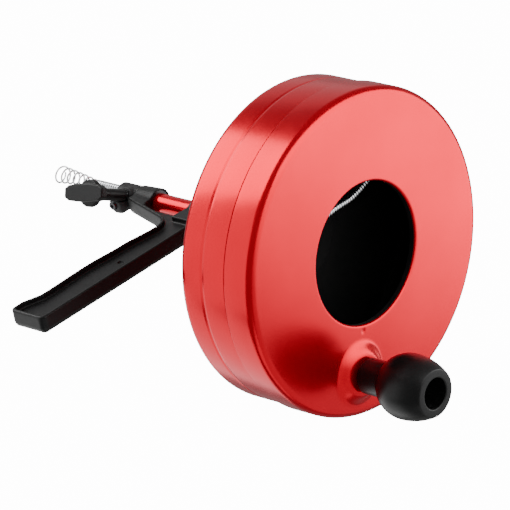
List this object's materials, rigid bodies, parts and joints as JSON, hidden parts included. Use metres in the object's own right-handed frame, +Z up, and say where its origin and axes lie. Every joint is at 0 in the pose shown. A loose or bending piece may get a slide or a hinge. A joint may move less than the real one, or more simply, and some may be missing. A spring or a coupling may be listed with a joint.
{
  "type": "drain auger",
  "caption": "Hand-cranked drain auger: red steel cable drum with a crank knob, guide tube through a pistol-grip handle, thumbscrew chuck and wound steel cable with an open-wound bulb tip.",
  "frame": {"origin": "centre of the round access opening in the drum's crank-side face, in the plane of that face", "axes": "+Y along the drum and guide tube axis towards the cable tip, +Z up, the grip points mostly towards -X"},
  "size_m": [0.2491, 0.322, 0.2],
  "materials": {
    "red_paint": "satin red enamel on sheet steel",
    "black_plastic": "fine-textured black moulding",
    "black_steel": "black oxide",
    "zinc_steel": "bright zinc plate",
    "spring_steel": "drawn spring wire",
    "brass": "turned",
    "nylon": "natural nylon"
  },
  "bodies": {
    "handle": {"handle_grip": "black_plastic", "front_bushing": "nylon", "rear_bushing": "nylon", "front_thrust_washer": "nylon", "rear_thrust_washer": "nylon"},
    "drum": {"front_shell": "red_paint", "rear_shell": "red_paint", "hub_flange": "red_paint", "hub_rivets": "zinc_steel", "guide_tube": "red_paint", "retaining_ring": "black_steel", "chuck_body": "black_steel", "chuck_set_screw": "black_steel", "crank_axle": "zinc_steel", "axle_nut": "zinc_steel", "axle_washer": "zinc_steel", "knob_washer": "black_steel", "cable_coil": "spring_steel", "cable_lead": "spring_steel"},
    "knob": {"knob_ball": "black_plastic", "knob_sleeve": "brass"},
    "pad": {"pressure_pad": "brass"},
    "thumbscrew": {"clamp_stud": "zinc_steel", "thumbscrew_wing": "black_plastic"},
    "cable": {"cable_run": "spring_steel", "bulb_head": "spring_steel"}
  },
  "joints": [
    {"name": "drum_spin", "type": "hinge", "parent": "handle", "child": "drum", "pos_m": [0, 0.1, 0], "axis": [0, 1, 0], "continuous": true},
    {"name": "knob_spin", "type": "hinge", "parent": "drum", "child": "knob", "pos_m": [-0.006, 0, -0.07225], "axis": [0, 1, 0], "continuous": true},
    {"name": "clamp_advance", "type": "slide", "parent": "drum", "child": "pad", "axis": [0.9715, 0, -0.2368], "range_m": [-0.00401, 0.00151]},
    {"name": "thumbscrew_turn", "type": "hinge", "parent": "pad", "child": "thumbscrew", "pos_m": [0, 0.193, 0], "axis": [0.9715, 0, -0.2368], "range_deg": [-1440, 540]},
    {"name": "cable_feed", "type": "slide", "parent": "drum", "child": "cable", "axis": [0, 1, 0], "range_m": [0, 0.12]}
  ],
  "couplings": [
    {"joint": "clamp_advance", "follows": "thumbscrew_turn", "m_per_rad": 0.00015915}
  ]
}
